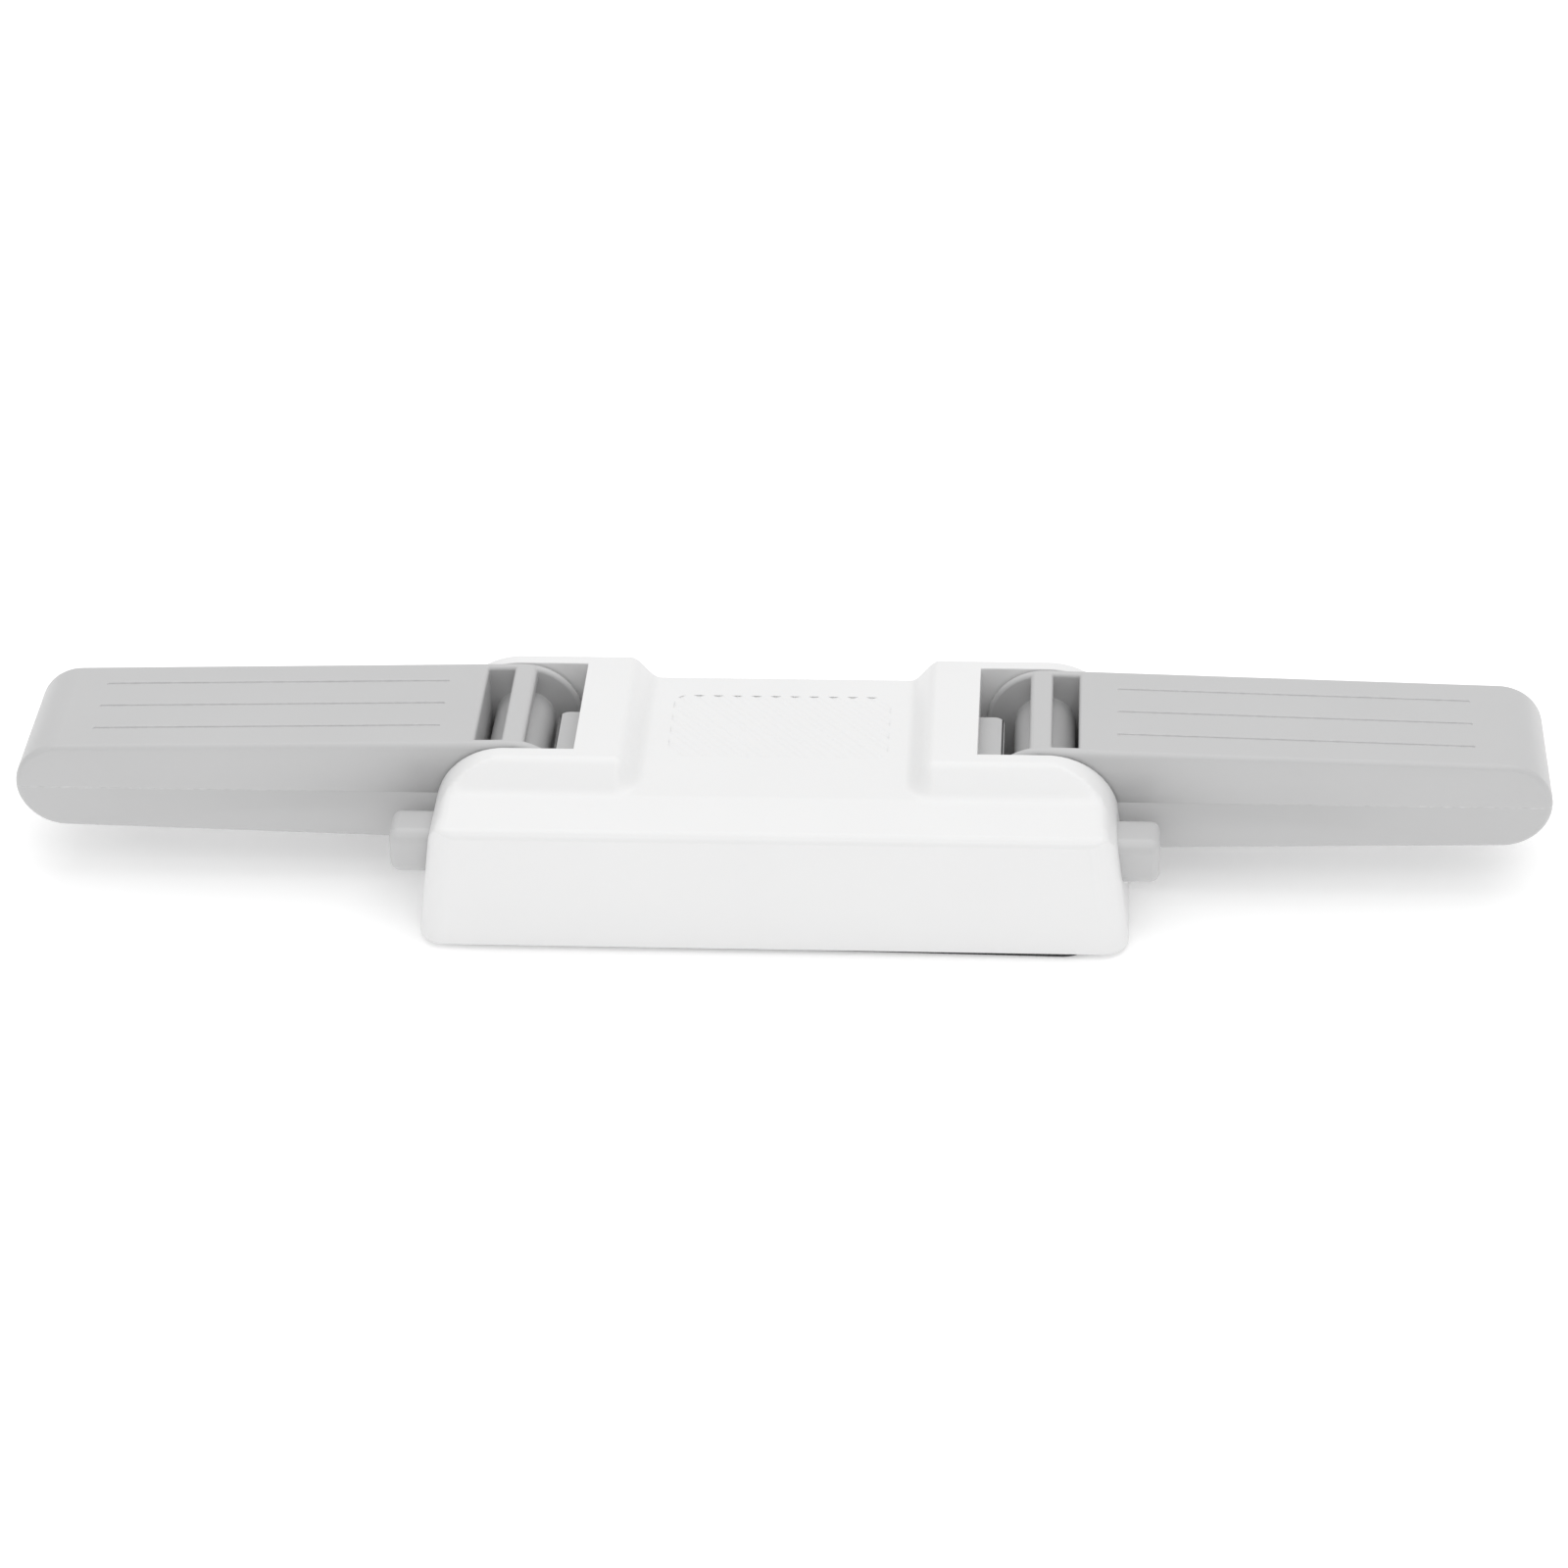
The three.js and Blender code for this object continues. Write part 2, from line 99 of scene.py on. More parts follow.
def prism(name, corners, across, start, stop, steps=8, edge=0.0, edge_steps=4):
    """Outline of (u, v, radius) corners drawn out along one axis, its two rims rounded by edge."""
    shape = bmesh.new()
    points = [shape.verts.new((u, v, 0)) for u, v, radius in corners]
    shape.faces.new(points)
    for i, (u, v, radius) in enumerate(corners):
        if radius:
            before = Vector(corners[i - 1][:2]) - Vector((u, v))
            after = Vector(corners[(i + 1) % len(corners)][:2]) - Vector((u, v))
            reach = radius / math.tan(before.angle(after) / 2)
            bmesh.ops.bevel(shape, geom=[points[i]], offset=reach, offset_type="OFFSET", segments=steps,
                            profile=0.5, affect="VERTICES", material=-1)
    bmesh.ops.remove_doubles(shape, verts=shape.verts[:], dist=1e-4)
    drawn = bmesh.ops.extrude_face_region(shape, geom=shape.faces[:])["geom"]
    moved = [part for part in drawn if isinstance(part, bmesh.types.BMVert)]
    bmesh.ops.translate(shape, verts=moved, vec=(0, 0, stop - start))
    bmesh.ops.recalc_face_normals(shape, faces=shape.faces[:])
    if edge:
        rims = [rim for rim in shape.edges if abs(rim.verts[0].co.z - rim.verts[1].co.z) < 1e-6]
        bmesh.ops.bevel(shape, geom=rims, offset=edge, offset_type="OFFSET", segments=edge_steps,
                        profile=0.5, affect="EDGES", material=-1)
    lay = {"X": ((0, 0, 1), (1, 0, 0), (0, 1, 0)), "Y": ((1, 0, 0), (0, 0, 1), (0, 1, 0)),
           "Z": ((1, 0, 0), (0, 1, 0), (0, 0, 1))}[across]
    along = {"X": (start, 0, 0), "Y": (0, start, 0), "Z": (0, 0, start)}[across]
    shape.transform(Matrix.Translation(along) @ Matrix(lay).to_4x4())
    bmesh.ops.recalc_face_normals(shape, faces=shape.faces[:])
    return piece_from(shape, name)


def rectangle(low, high, radius):
    """Corners of a rectangle, all rounded alike, as prism takes them."""
    (left, near), (right, far) = low[:2], high[:2]
    return [(left, near, radius), (right, near, radius), (right, far, radius), (left, far, radius)]


def block(name, low, high):
    """Plain box between two corners."""
    shape = bmesh.new()
    bmesh.ops.create_cube(shape, size=1)
    size = [b - a for a, b in zip(low, high)]
    middle = [(a + b) / 2 for a, b in zip(low, high)]
    bmesh.ops.scale(shape, vec=size, verts=shape.verts[:])
    bmesh.ops.translate(shape, vec=middle, verts=shape.verts[:])
    return piece_from(shape, name)


def sided_block(name, side, low, high):
    """Box on one side of the middle, given as if for the right side."""
    left, right = sorted((side * low[0], side * high[0]))
    return block(name, (left, *low[1:]), (right, *high[1:]))


def rod(name, radius, axis, foot, length, sides=48):
    """Round bar that starts at foot and runs along an axis."""
    shape = bmesh.new()
    bmesh.ops.create_cone(shape, cap_ends=True, segments=sides, radius1=radius, radius2=radius, depth=length)
    bmesh.ops.translate(shape, vec=(0, 0, length / 2), verts=shape.verts[:])
    turn = Vector((0, 0, 1)).rotation_difference(Vector(axis)).to_matrix().to_4x4()
    shape.transform(Matrix.Translation(foot) @ turn)
    return piece_from(shape, name)


def settle(piece):
    """Makes the piece's modifiers part of its mesh."""
    graph = bpy.context.evaluated_depsgraph_get()
    shaped = bpy.data.meshes.new_from_object(piece.evaluated_get(graph))
    piece.modifiers.clear()
    piece.data = shaped


def carve(piece, tools, operation="DIFFERENCE"):
    """Cuts the tools out of the piece, or joins or keeps what they share, and throws them away."""
    for tool in tools:
        cut = piece.modifiers.new("cut", "BOOLEAN")
        cut.operation = operation
        cut.solver = "EXACT"
        cut.object = tool
    settle(piece)
    for tool in tools:
        bpy.data.objects.remove(tool)


def even_shading(piece):
    """Shades the large flat faces flat, with all of the turn in the narrow rounded ones."""
    for face in piece.data.polygons:
        face.use_smooth = True
    flat = piece.modifiers.new("flat faces", "WEIGHTED_NORMAL")
    flat.weight = 100
    flat.keep_sharp = True
    settle(piece)


def finish_mould(piece, place, rounding=0.2, steps=3, sharp=28, soft=None, crisp=None):
    """Clears the cuts' spare points, breaks the sharp edges as a mould does, and sets the piece in place.

    soft and crisp tell by an edge's middle whether it is round already, or closes too tightly to show.
    """
    shape = bmesh.new()
    shape.from_mesh(piece.data)
    bmesh.ops.remove_doubles(shape, verts=shape.verts[:], dist=1e-4)
    bmesh.ops.dissolve_limit(shape, angle_limit=math.radians(0.6), verts=shape.verts[:], edges=shape.edges[:])
    bmesh.ops.recalc_face_normals(shape, faces=shape.faces[:])
    if shape.calc_volume(signed=True) < 0:
        bmesh.ops.reverse_faces(shape, faces=shape.faces[:])
    rims = []
    for edge in shape.edges:
        middle = (edge.verts[0].co + edge.verts[1].co) / 2
        if edge.calc_face_angle(0) < math.radians(sharp) or (soft and soft(middle)):
            continue
        if crisp and crisp(middle):
            edge.smooth = False
        else:
            rims.append(edge)
    bmesh.ops.bevel(shape, geom=rims, offset=rounding, offset_type="OFFSET", segments=steps, profile=0.5,
                    affect="EDGES", material=-1)
    shape.transform(place)
    if shape.calc_volume(signed=True) < 0:
        bmesh.ops.reverse_faces(shape, faces=shape.faces[:])
    shape.to_mesh(piece.data)
    shape.free()
    even_shading(piece)


def drafted_block():
    """Plan of the base drawn up, its upright corners rounded and its four sides leaning in."""
    shape = bmesh.new()
    bmesh.ops.create_cube(shape, size=2)
    top = boss_top + 1
    for point in shape.verts:
        up = top if point.co.z > 0 else 0
        x = base_half - end_lean * up
        front = base_front + front_lean * up
        back = base_back - back_lean * up
        point.co = (math.copysign(x, point.co.x), front if point.co.y < 0 else back, up)
    upright = [edge for edge in shape.edges if abs(edge.verts[0].co.z - edge.verts[1].co.z) > 1]
    bmesh.ops.bevel(shape, geom=upright, offset=corner_round, offset_type="OFFSET", segments=10, profile=0.5,
                    affect="EDGES", material=-1)
    return piece_from(shape, "base_body")


def boss_share(x, y):
    """How far a boss rises over the slab at a point: 1 on its flat top, 0 past the foot of its ramps."""
    side_gap = max(0.0, boss_side - abs(x)) / side_ramp
    front_gap = max(0.0, boss_near - y) / front_ramp
    gap = min(1.0, math.hypot(side_gap, front_gap))
    return 0.5 + 0.5 * math.cos(math.pi * gap)


def turned_down(gap, radius):
    """Drop of a rounded edge at a point this far inside the line where it has turned upright."""
    reach = min(max(0.0, radius - gap), radius)
    return radius - math.sqrt(radius ** 2 - reach ** 2)


def edge_drop(x, inside, radius):
    """Drop of the rounded edge of the front or back wall, followed round the upright corners."""
    beside = max(0.0, abs(x) - corner_middle)
    ahead = corner_round - inside
    if ahead <= 0:
        return 0.0
    away = math.hypot(beside, ahead)
    return turned_down(corner_round - away, radius * ahead / away)


def top_height(x, y):
    """Height of the base's upper surface: slab, bosses, their round shoulders and the rounded outer edges."""
    slab = saddle_floor - max(0.0, slab_bend - y) * slab_slope
    share = boss_share(x, y)
    open_top = slab + (boss_top - slab) * share
    shoulder = boss_top - turned_down(shoulder_end - abs(x), shoulder_round)
    blend = 0.01 + 1.2 * (1 - share)
    near = max(0.0, 1 - abs(open_top - shoulder) / blend)
    height = min(open_top, shoulder) - blend * near * near / 4
    front = base_front + front_lean * (height - front_round) - spare
    back = base_back - back_lean * (height - back_round) + spare
    return height - edge_drop(x, y - front, front_round) - edge_drop(x, back - y, back_round)


def base_top(name):
    """Solid whose upper face is that surface, with its lines closer together where the surface turns."""
    ramp = [18.3 + 0.43 * step for step in range(11)]
    half = [9] + ramp + [26, 30, 34, shoulder_end - shoulder_round + 0.5]
    half += [shoulder_end - shoulder_round * (1 - math.sin(math.radians(6 * step))) for step in range(1, 9)]
    half += [46.5 + 0.3 * step for step in range(8)] + [shoulder_end, 60]
    across = [-x for x in reversed(half)] + half
    front_rows = [0, 0.06, 0.2, 0.36, 0.55, 0.8, 1.1, 1.5, 1.9, 2.4, 2.9, 3.4, 3.9]
    back_rows = [3.9, 3.3, 2.7, 1.9, 1.4, 1, 0.8, 0.56, 0.36, 0.2, 0.08, 0]
    along = [-40] + [front_top - spare + gap for gap in front_rows]
    along += [-18.6 + 0.56 * step for step in range(11)] + [0]
    along += [base_back - back_lean * boss_top + spare - gap for gap in back_rows] + [30]
    shape = bmesh.new()
    columns, lines = len(across) - 1, len(along) - 1
    bmesh.ops.create_grid(shape, x_segments=columns, y_segments=lines, size=1)
    for point in shape.verts:
        x = across[round((point.co.x + 1) / 2 * columns)]
        y = along[round((point.co.y + 1) / 2 * lines)]
        point.co = (x, y, top_height(x, y))
    rim = bmesh.ops.extrude_edge_only(shape, edges=[edge for edge in shape.edges if edge.is_boundary])["geom"]
    low_rim = [part for part in rim if isinstance(part, bmesh.types.BMVert)]
    for point in low_rim:
        point.co.z = -2
    bmesh.ops.contextual_create(shape, geom=[edge for edge in shape.edges if edge.is_boundary])
    twisted = [face for face in shape.faces if len(face.verts) == 4]
    bmesh.ops.triangulate(shape, faces=twisted)
    bmesh.ops.recalc_face_normals(shape, faces=shape.faces[:])
    return piece_from(shape, name)


# The bosses' flat tops start here, and each ramp falls to the slab over its own length.
boss_side, side_ramp = 22.6, 4.3
boss_near, front_ramp = -13.0, 5.6
slab_bend = -17.6
front_top = base_front + front_lean * shelf_edge
slab_slope = (saddle_floor - shelf_edge) / (slab_bend - front_top)
shoulder_round, front_round, back_round = 10.5, 1.5, 0.8
shoulder_end = base_half - end_lean * (boss_top - shoulder_round) + 0.02
corner_round, corner_level, spare = 3.8, 15, 0.06
corner_middle = base_half - end_lean * corner_level + spare - corner_round

housing = drafted_block()
carve(housing, [base_top("base_top")], "INTERSECT")


def on_rounded_rim(middle):
    """Whether a point lies high on the front or back wall, where base_top has rounded the edge already."""
    return middle.z > 11 and not -22.3 < middle.y < 12.6


# Rooms below the top: the seat of the cover, the gallery of the buttons along the front, and the
# middle room, then at each end the bay, the tongue's room and way, the button's slot and the pin's way.
room_floor, seat_depth, seat_half, seat_near, seat_far = 2, 2.4, 48.2, -25.5, 12
gallery_half, gallery_near, gallery_far, gallery_roof = 46.6, -24.6, -13.4, 16.4
middle_half, middle_near, middle_far, middle_roof = 26.5, -14.4, 11.1, 17
tongue_way_near, tongue_way_far, tongue_way_roof = -8.3, 4.6, 19.3
tongue_way_foot, tongue_room_foot, tongue_room_inner = 15.9, 15, 19.3
slot_near, slot_far, slot_foot, slot_top, slot_corner = -21.7, -13.9, 7.3, 15, 1.6
pin_radius, pin_start, pin_run = 1.8, -14.4, 27.1
beyond = 60
seat = rectangle((-seat_half, seat_near), (seat_half, seat_far), 2)
slot = rectangle((slot_near, slot_foot), (slot_far, slot_top), slot_corner)
rooms = [
    prism("cover_seat", seat, "Z", -1, seat_depth),
    block("gallery", (-gallery_half, gallery_near, room_floor), (gallery_half, gallery_far, gallery_roof)),
    block("room", (-middle_half, middle_near, room_floor), (middle_half, middle_far, middle_roof)),
]
ribs = []
holes = []
for side in (-1, 1):
    rooms.append(sided_block("bay", side, (bay_inner, -bay_half, bay_floor), (beyond, bay_half, 40)))
    rooms.append(sided_block("tongue_room", side, (tongue_room_inner, tongue_way_near, tongue_room_foot),
                             (middle_half + 0.2, tongue_way_far, tongue_way_roof)))
    rooms.append(sided_block("tongue_way", side, (middle_half - 0.5, tongue_way_near, tongue_way_foot),
                             (bay_inner + 1, tongue_way_far, tongue_way_roof)))
    ends = sorted((side * (gallery_half - 1), side * beyond))
    rooms.append(prism("button_way", slot, "X", ends[0], ends[1], steps=4))
    rooms.append(rod("pin_way", pin_radius, (0, 1, 0), (side * pivot_x, pin_start, pivot_z), pin_run))
    ribs.append(sided_block("spring_rib", side, (8.6, -24.8, 3), (10.4, -13, 17.2)))
    ribs.append(sided_block("stop_rib", side, (39.4, -24.8, 14.4), (40.8, -13.2, 16.6)))
screw_post, pilot_hole = 2.7, 1.15
for number in range(1, 5):
    low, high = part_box(f"cover_screw_{number}")
    x, y = (((low + high) / 2 - Vector((0, arm_line, 0))) / mm).xy
    ribs.append(rod(f"screw_boss_{number}", screw_post, (0, 0, 1), (x, y, 2.5), 14.7))
    holes.append(rod(f"pilot_{number}", pilot_hole, (0, 0, 1), (x, y, room_floor), 10, sides=24))
carve(housing, rooms)
carve(housing, ribs, "UNION")
carve(housing, holes)
housing.name = "housing_moulding"
finish_mould(housing, set_down, soft=on_rounded_rim)

# Hatching: shallow slanted grooves with sloping sides, kept inside a patch with round corners.
patch_half, patch_near, patch_far, patch_round = 15.8, -7.6, 8.45, 2
patch_middle = (patch_near + patch_far) / 2
groove_pitch, groove_count, groove_depth, groove_slant = 2.8, 17, 0.16, 40
groove_half = groove_pitch * math.sin(math.radians(90 - groove_slant)) / 4
groove = [(-0.4 * groove_half, -groove_depth, 0), (0.4 * groove_half, -groove_depth, 0),
          (1.9 * groove_half, groove_depth, 0), (-1.9 * groove_half, groove_depth, 0)]
patch = prism("patch", rectangle((-patch_half, patch_near), (patch_half, patch_far), patch_round),
              "Z", saddle_floor - 1, saddle_floor + 0.5 * groove_depth)
hatching = []
for number in range(groove_count):
    run = prism(f"groove_{number}", groove, "Y", -20, 20)
    along = (number - (groove_count - 1) / 2) * groove_pitch
    slant = Matrix.Rotation(math.radians(groove_slant), 4, "Z")
    run.data.transform(Matrix.Translation((along, patch_middle, saddle_floor)) @ slant)
    kept = patch.copy()
    bpy.context.scene.collection.objects.link(kept)
    carve(run, [kept], "INTERSECT")
    if run.data.polygons:
        run.data.transform(set_down)
        hatching.append(run)
    else:
        bpy.data.objects.remove(run)
bpy.data.objects.remove(patch)
carve(housing, hatching)
even_shading(housing)


def moulding_grain():
    """Surface of a moulded plastic: faint flow mottle in its colour, uneven gloss and a fine tool texture."""
    group = bpy.data.node_groups.new("moulding_grain", "ShaderNodeTree")
    sockets = group.interface
    sockets.new_socket("Colour", in_out="INPUT", socket_type="NodeSocketColor")
    sockets.new_socket("Mottle", in_out="INPUT", socket_type="NodeSocketFloat")
    sockets.new_socket("Gloss", in_out="INPUT", socket_type="NodeSocketFloat")
    sockets.new_socket("Colour", in_out="OUTPUT", socket_type="NodeSocketColor")
    sockets.new_socket("Roughness", in_out="OUTPUT", socket_type="NodeSocketFloat")
    sockets.new_socket("Height", in_out="OUTPUT", socket_type="NodeSocketFloat")
    add, wire = group.nodes.new, group.links.new
    given, made = add("NodeGroupInput"), add("NodeGroupOutput")
    where = add("ShaderNodeTexCoord")

    # Flow mottle: broad, soft clouds a centimetre across, as the melt leaves them.
    flow = add("ShaderNodeTexNoise")
    flow.inputs["Scale"].default_value = 70
    flow.inputs["Detail"].default_value = 3
    wire(where.outputs["Object"], flow.inputs["Vector"])
    lighter = add("ShaderNodeMapRange")
    lighter.inputs["To Min"].default_value = -1
    wire(flow.outputs["Fac"], lighter.inputs["Value"])
    amount = add("ShaderNodeMath")
    amount.operation = "MULTIPLY_ADD"
    amount.inputs[2].default_value = 1
    wire(lighter.outputs["Result"], amount.inputs[0])
    wire(given.outputs["Mottle"], amount.inputs[1])
    tone = add("ShaderNodeHueSaturation")
    wire(amount.outputs["Value"], tone.inputs["Value"])
    wire(given.outputs["Colour"], tone.inputs["Color"])
    wire(tone.outputs["Color"], made.inputs["Colour"])

    # Gloss varies where hands and the mould have polished it.
    polish = add("ShaderNodeTexNoise")
    polish.inputs["Scale"].default_value = 160
    polish.inputs["Detail"].default_value = 5
    wire(where.outputs["Object"], polish.inputs["Vector"])
    rough = add("ShaderNodeMath")
    rough.operation = "MULTIPLY_ADD"
    rough.inputs[1].default_value = 0.12
    wire(polish.outputs["Fac"], rough.inputs[0])
    wire(given.outputs["Gloss"], rough.inputs[2])
    wire(rough.outputs["Value"], made.inputs["Roughness"])

    # Spark-eroded texture, a fifth of a millimetre across.
    grain = add("ShaderNodeTexNoise")
    grain.inputs["Scale"].default_value = 5200
    grain.inputs["Detail"].default_value = 2
    wire(where.outputs["Object"], grain.inputs["Vector"])
    wire(grain.outputs["Fac"], made.inputs["Height"])
    return group


def painted_edge_highlight():
    """Mask of outside edges, broken up by noise, where a paler colour is painted on as an edge highlight."""
    group = bpy.data.node_groups.new("painted_edge_highlight", "ShaderNodeTree")
    group.interface.new_socket("Width", in_out="INPUT", socket_type="NodeSocketFloat")
    group.interface.new_socket("Mask", in_out="OUTPUT", socket_type="NodeSocketFloat")
    add, wire = group.nodes.new, group.links.new
    given, made = add("NodeGroupInput"), add("NodeGroupOutput")
    face, blunt = add("ShaderNodeNewGeometry"), add("ShaderNodeBevel")
    blunt.samples = 6
    wire(given.outputs["Width"], blunt.inputs["Radius"])
    agree = add("ShaderNodeVectorMath")
    agree.operation = "DOT_PRODUCT"
    wire(face.outputs["Normal"], agree.inputs[0])
    wire(blunt.outputs["Normal"], agree.inputs[1])
    edge = add("ShaderNodeMapRange")
    edge.inputs["From Min"].default_value = 0.995
    edge.inputs["From Max"].default_value = 0.9
    wire(agree.outputs["Value"], edge.inputs["Value"])
    where, patchy = add("ShaderNodeTexCoord"), add("ShaderNodeTexNoise")
    patchy.inputs["Scale"].default_value = 900
    patchy.inputs["Detail"].default_value = 4
    wire(where.outputs["Object"], patchy.inputs["Vector"])
    broken = add("ShaderNodeMapRange")
    broken.inputs["From Min"].default_value = 0.35
    broken.inputs["From Max"].default_value = 0.65
    wire(patchy.outputs["Fac"], broken.inputs["Value"])
    both = add("ShaderNodeMath")
    both.operation = "MULTIPLY"
    wire(edge.outputs["Result"], both.inputs[0])
    wire(broken.outputs["Result"], both.inputs[1])
    wire(both.outputs["Value"], made.inputs["Mask"])
    return group


# The second group paints a highlight: a paler colour along the outside edges.
grain_group = moulding_grain()
painted_highlight_group = painted_edge_highlight()


def moulded_plastic(name, colour, highlight_colour, mottle, gloss, texture, subsurface):
    """Moulded plastic: its colour, the paler colour painted along its outside edges as a highlight, and how
    uneven and how glossy it is.
    """
    material = bpy.data.materials.new(name)
    material.use_nodes = True
    nodes, wire = material.node_tree.nodes, material.node_tree.links.new
    surface = nodes["Principled BSDF"]
    surface.inputs["IOR"].default_value = 1.53
    surface.inputs["Subsurface Weight"].default_value = subsurface
    surface.inputs["Subsurface Radius"].default_value = (0.0012, 0.0011, 0.001)
    grain = nodes.new("ShaderNodeGroup")
    grain.node_tree = grain_group
    grain.inputs["Colour"].default_value = (*colour, 1)
    grain.inputs["Mottle"].default_value = mottle
    grain.inputs["Gloss"].default_value = gloss
    # Painted highlight: the outside edges are mixed towards a paler colour, standing in for the light they
    # catch.
    edge_highlight = nodes.new("ShaderNodeGroup")
    edge_highlight.node_tree = painted_highlight_group
    edge_highlight.inputs["Width"].default_value = 0.35 * mm
    highlighted = nodes.new("ShaderNodeMix")
    highlighted.data_type = "RGBA"
    highlighted.inputs["B"].default_value = (*highlight_colour, 1)
    wire(edge_highlight.outputs["Mask"], highlighted.inputs["Factor"])
    wire(grain.outputs["Colour"], highlighted.inputs["A"])
    wire(highlighted.outputs["Result"], surface.inputs["Base Color"])
    wire(grain.outputs["Roughness"], surface.inputs["Roughness"])
    bump = nodes.new("ShaderNodeBump")
    bump.inputs["Strength"].default_value = texture
    bump.inputs["Distance"].default_value = 0.02 * mm
    wire(grain.outputs["Height"], bump.inputs["Height"])
    wire(bump.outputs["Normal"], surface.inputs["Normal"])
    return material


def dress(piece, material, body, node):
    """Gives a finished piece its material, the body that it rides on and the node that it stands for."""
    piece.data.materials.clear()
    piece.data.materials.append(material)
    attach(piece, body)
    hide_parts(node)


# The second colour is the paler one painted along the outside edges as a highlight.
white_abs = moulded_plastic("white_abs", (0.82, 0.82, 0.82), (0.89, 0.89, 0.89), 0.012, 0.26, 0.35, 0.05)
dress(housing, white_abs, "base", "base_housing")

# ---------------------------------------------------------------------------------------------------
# Cover. A flat plate in the same white ABS, let into the underside of the housing and held by four
# zinc-plated self-tapping screws, whose pan heads lie in counterbores above the pad.
# ---------------------------------------------------------------------------------------------------


def in_millimetres(point):
    """A point of the frame, measured in millimetres as the housing is."""
    return Vector((point.x, point.y - arm_line, point.z - bottom_edge)) / mm


def middle_of(node):
    """Middle of a node's box, in millimetres."""
    low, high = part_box(node)
    return in_millimetres((low + high) / 2)


def turned(name, profile, sides=48):
    """Solid of revolution about Z, from (radius, height) points that start and end on the axis."""
    shape = bmesh.new()
    points = [shape.verts.new((radius, 0, height)) for radius, height in profile]
    edges = [shape.edges.new(pair) for pair in zip(points, points[1:])]
    bmesh.ops.spin(shape, geom=points + edges, cent=(0, 0, 0), axis=(0, 0, 1), angle=2 * math.pi,
                   steps=sides, use_merge=True)
    bmesh.ops.remove_doubles(shape, verts=shape.verts[:], dist=1e-5)
    bmesh.ops.recalc_face_normals(shape, faces=shape.faces[:])
    return piece_from(shape, name)


def metal(name, colour, gloss, marks, across):
    """Bright metal with faint stains, and tool or drawing marks, so many a metre, across an axis."""
    material = bpy.data.materials.new(name)
    material.use_nodes = True
    nodes, wire = material.node_tree.nodes, material.node_tree.links.new
    surface = nodes["Principled BSDF"]
    surface.inputs["Metallic"].default_value = 1
    where, stretch = nodes.new("ShaderNodeTexCoord"), nodes.new("ShaderNodeMapping")
    stretch.inputs["Scale"].default_value = across
    wire(where.outputs["Object"], stretch.inputs["Vector"])
    lines, stain = nodes.new("ShaderNodeTexNoise"), nodes.new("ShaderNodeTexNoise")
    lines.inputs["Scale"].default_value = marks
    wire(stretch.outputs["Vector"], lines.inputs["Vector"])
    stain.inputs["Scale"].default_value = 600
    stain.inputs["Detail"].default_value = 5
    wire(where.outputs["Object"], stain.inputs["Vector"])
    tint = nodes.new("ShaderNodeMix")
    tint.data_type = "RGBA"
    tint.inputs["A"].default_value = (*colour, 1)
    tint.inputs["B"].default_value = (*[0.6 * part for part in colour], 1)
    clouded = nodes.new("ShaderNodeMapRange")
    clouded.inputs["From Min"].default_value = 0.5
    clouded.inputs["From Max"].default_value = 0.8
    wire(stain.outputs["Fac"], clouded.inputs["Value"])
    wire(clouded.outputs["Result"], tint.inputs["Factor"])
    wire(tint.outputs["Result"], surface.inputs["Base Color"])
    rough = nodes.new("ShaderNodeMapRange")
    rough.inputs["To Min"].default_value = gloss
    rough.inputs["To Max"].default_value = gloss + 0.25
    wire(lines.outputs["Fac"], rough.inputs["Value"])
    wire(rough.outputs["Result"], surface.inputs["Roughness"])
    bump = nodes.new("ShaderNodeBump")
    bump.inputs["Strength"].default_value = 0.25
    bump.inputs["Distance"].default_value = 0.01 * mm
    wire(lines.outputs["Fac"], bump.inputs["Height"])
    wire(bump.outputs["Normal"], surface.inputs["Normal"])
    return material


zinc = metal("zinc_plate", (0.74, 0.75, 0.77), 0.22, 2500, (1, 1, 1))


def screw(name, node, body, head_height, turn):
    """Self-tapping screw seen from below: pan head with a cross recess, coarse thread and a blunt point."""
    low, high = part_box(node)
    low, high = in_millimetres(low), in_millimetres(high)
    head, length = (high.x - low.x) / 2, high.z - low.z
    thread, root, pitch = 0.85, 0.6, 0.9
    crown = 0.55 * head_height
    rim = [math.radians(15 * step) for step in range(7)]
    profile = [(0, 0)]
    profile += [(head - crown + crown * math.sin(a), crown - crown * math.cos(a)) for a in rim]
    profile += [(head, head_height), (thread, head_height), (root, head_height + 0.2)]
    foot = head_height + 0.5
    while foot + pitch < length - 1:
        profile += [(root, foot), (thread, foot + 0.3 * pitch), (root, foot + 0.6 * pitch)]
        foot += pitch
    profile += [(root, length - 1), (0.25 * root, length), (0, length)]
    made = turned(name, profile, sides=32)
    wing, slit, depth = 0.6 * head, 0.17 * head, 0.65 * head_height
    carve(made, [block("wing_x", (-wing, -slit, -1), (wing, slit, depth)),
                 block("wing_y", (-slit, -wing, -1), (slit, wing, depth))])
    middle = middle_of(node)
    stand = Matrix.Translation((middle.x, middle.y, low.z)) @ Matrix.Rotation(math.radians(turn), 4, "Z")
    finish_mould(made, set_down @ stand, rounding=0.05, steps=2, sharp=40)
    dress(made, zinc, body, node)


cover_low, cover_high = (in_millimetres(corner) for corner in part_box("base_cover"))
plate = prism("cover_plate", rectangle(cover_low, cover_high, 1.8), "Z", cover_low.z, cover_high.z)
holes = []
for number in range(1, 5):
    x, y = middle_of(f"cover_screw_{number}").xy
    holes.append(rod(f"hole_{number}", 1.3, (0, 0, 1), (x, y, -1), 5))
    holes.append(rod(f"counterbore_{number}", 2.6, (0, 0, 1), (x, y, -1), 2.3))
carve(plate, holes)
finish_mould(plate, set_down, rounding=0.15)
dress(plate, white_abs, "base", "base_cover")
for number in range(1, 5):
    screw(f"cover_fixing_{number}", f"cover_screw_{number}", "base", 0.9, 25 + 37 * number)

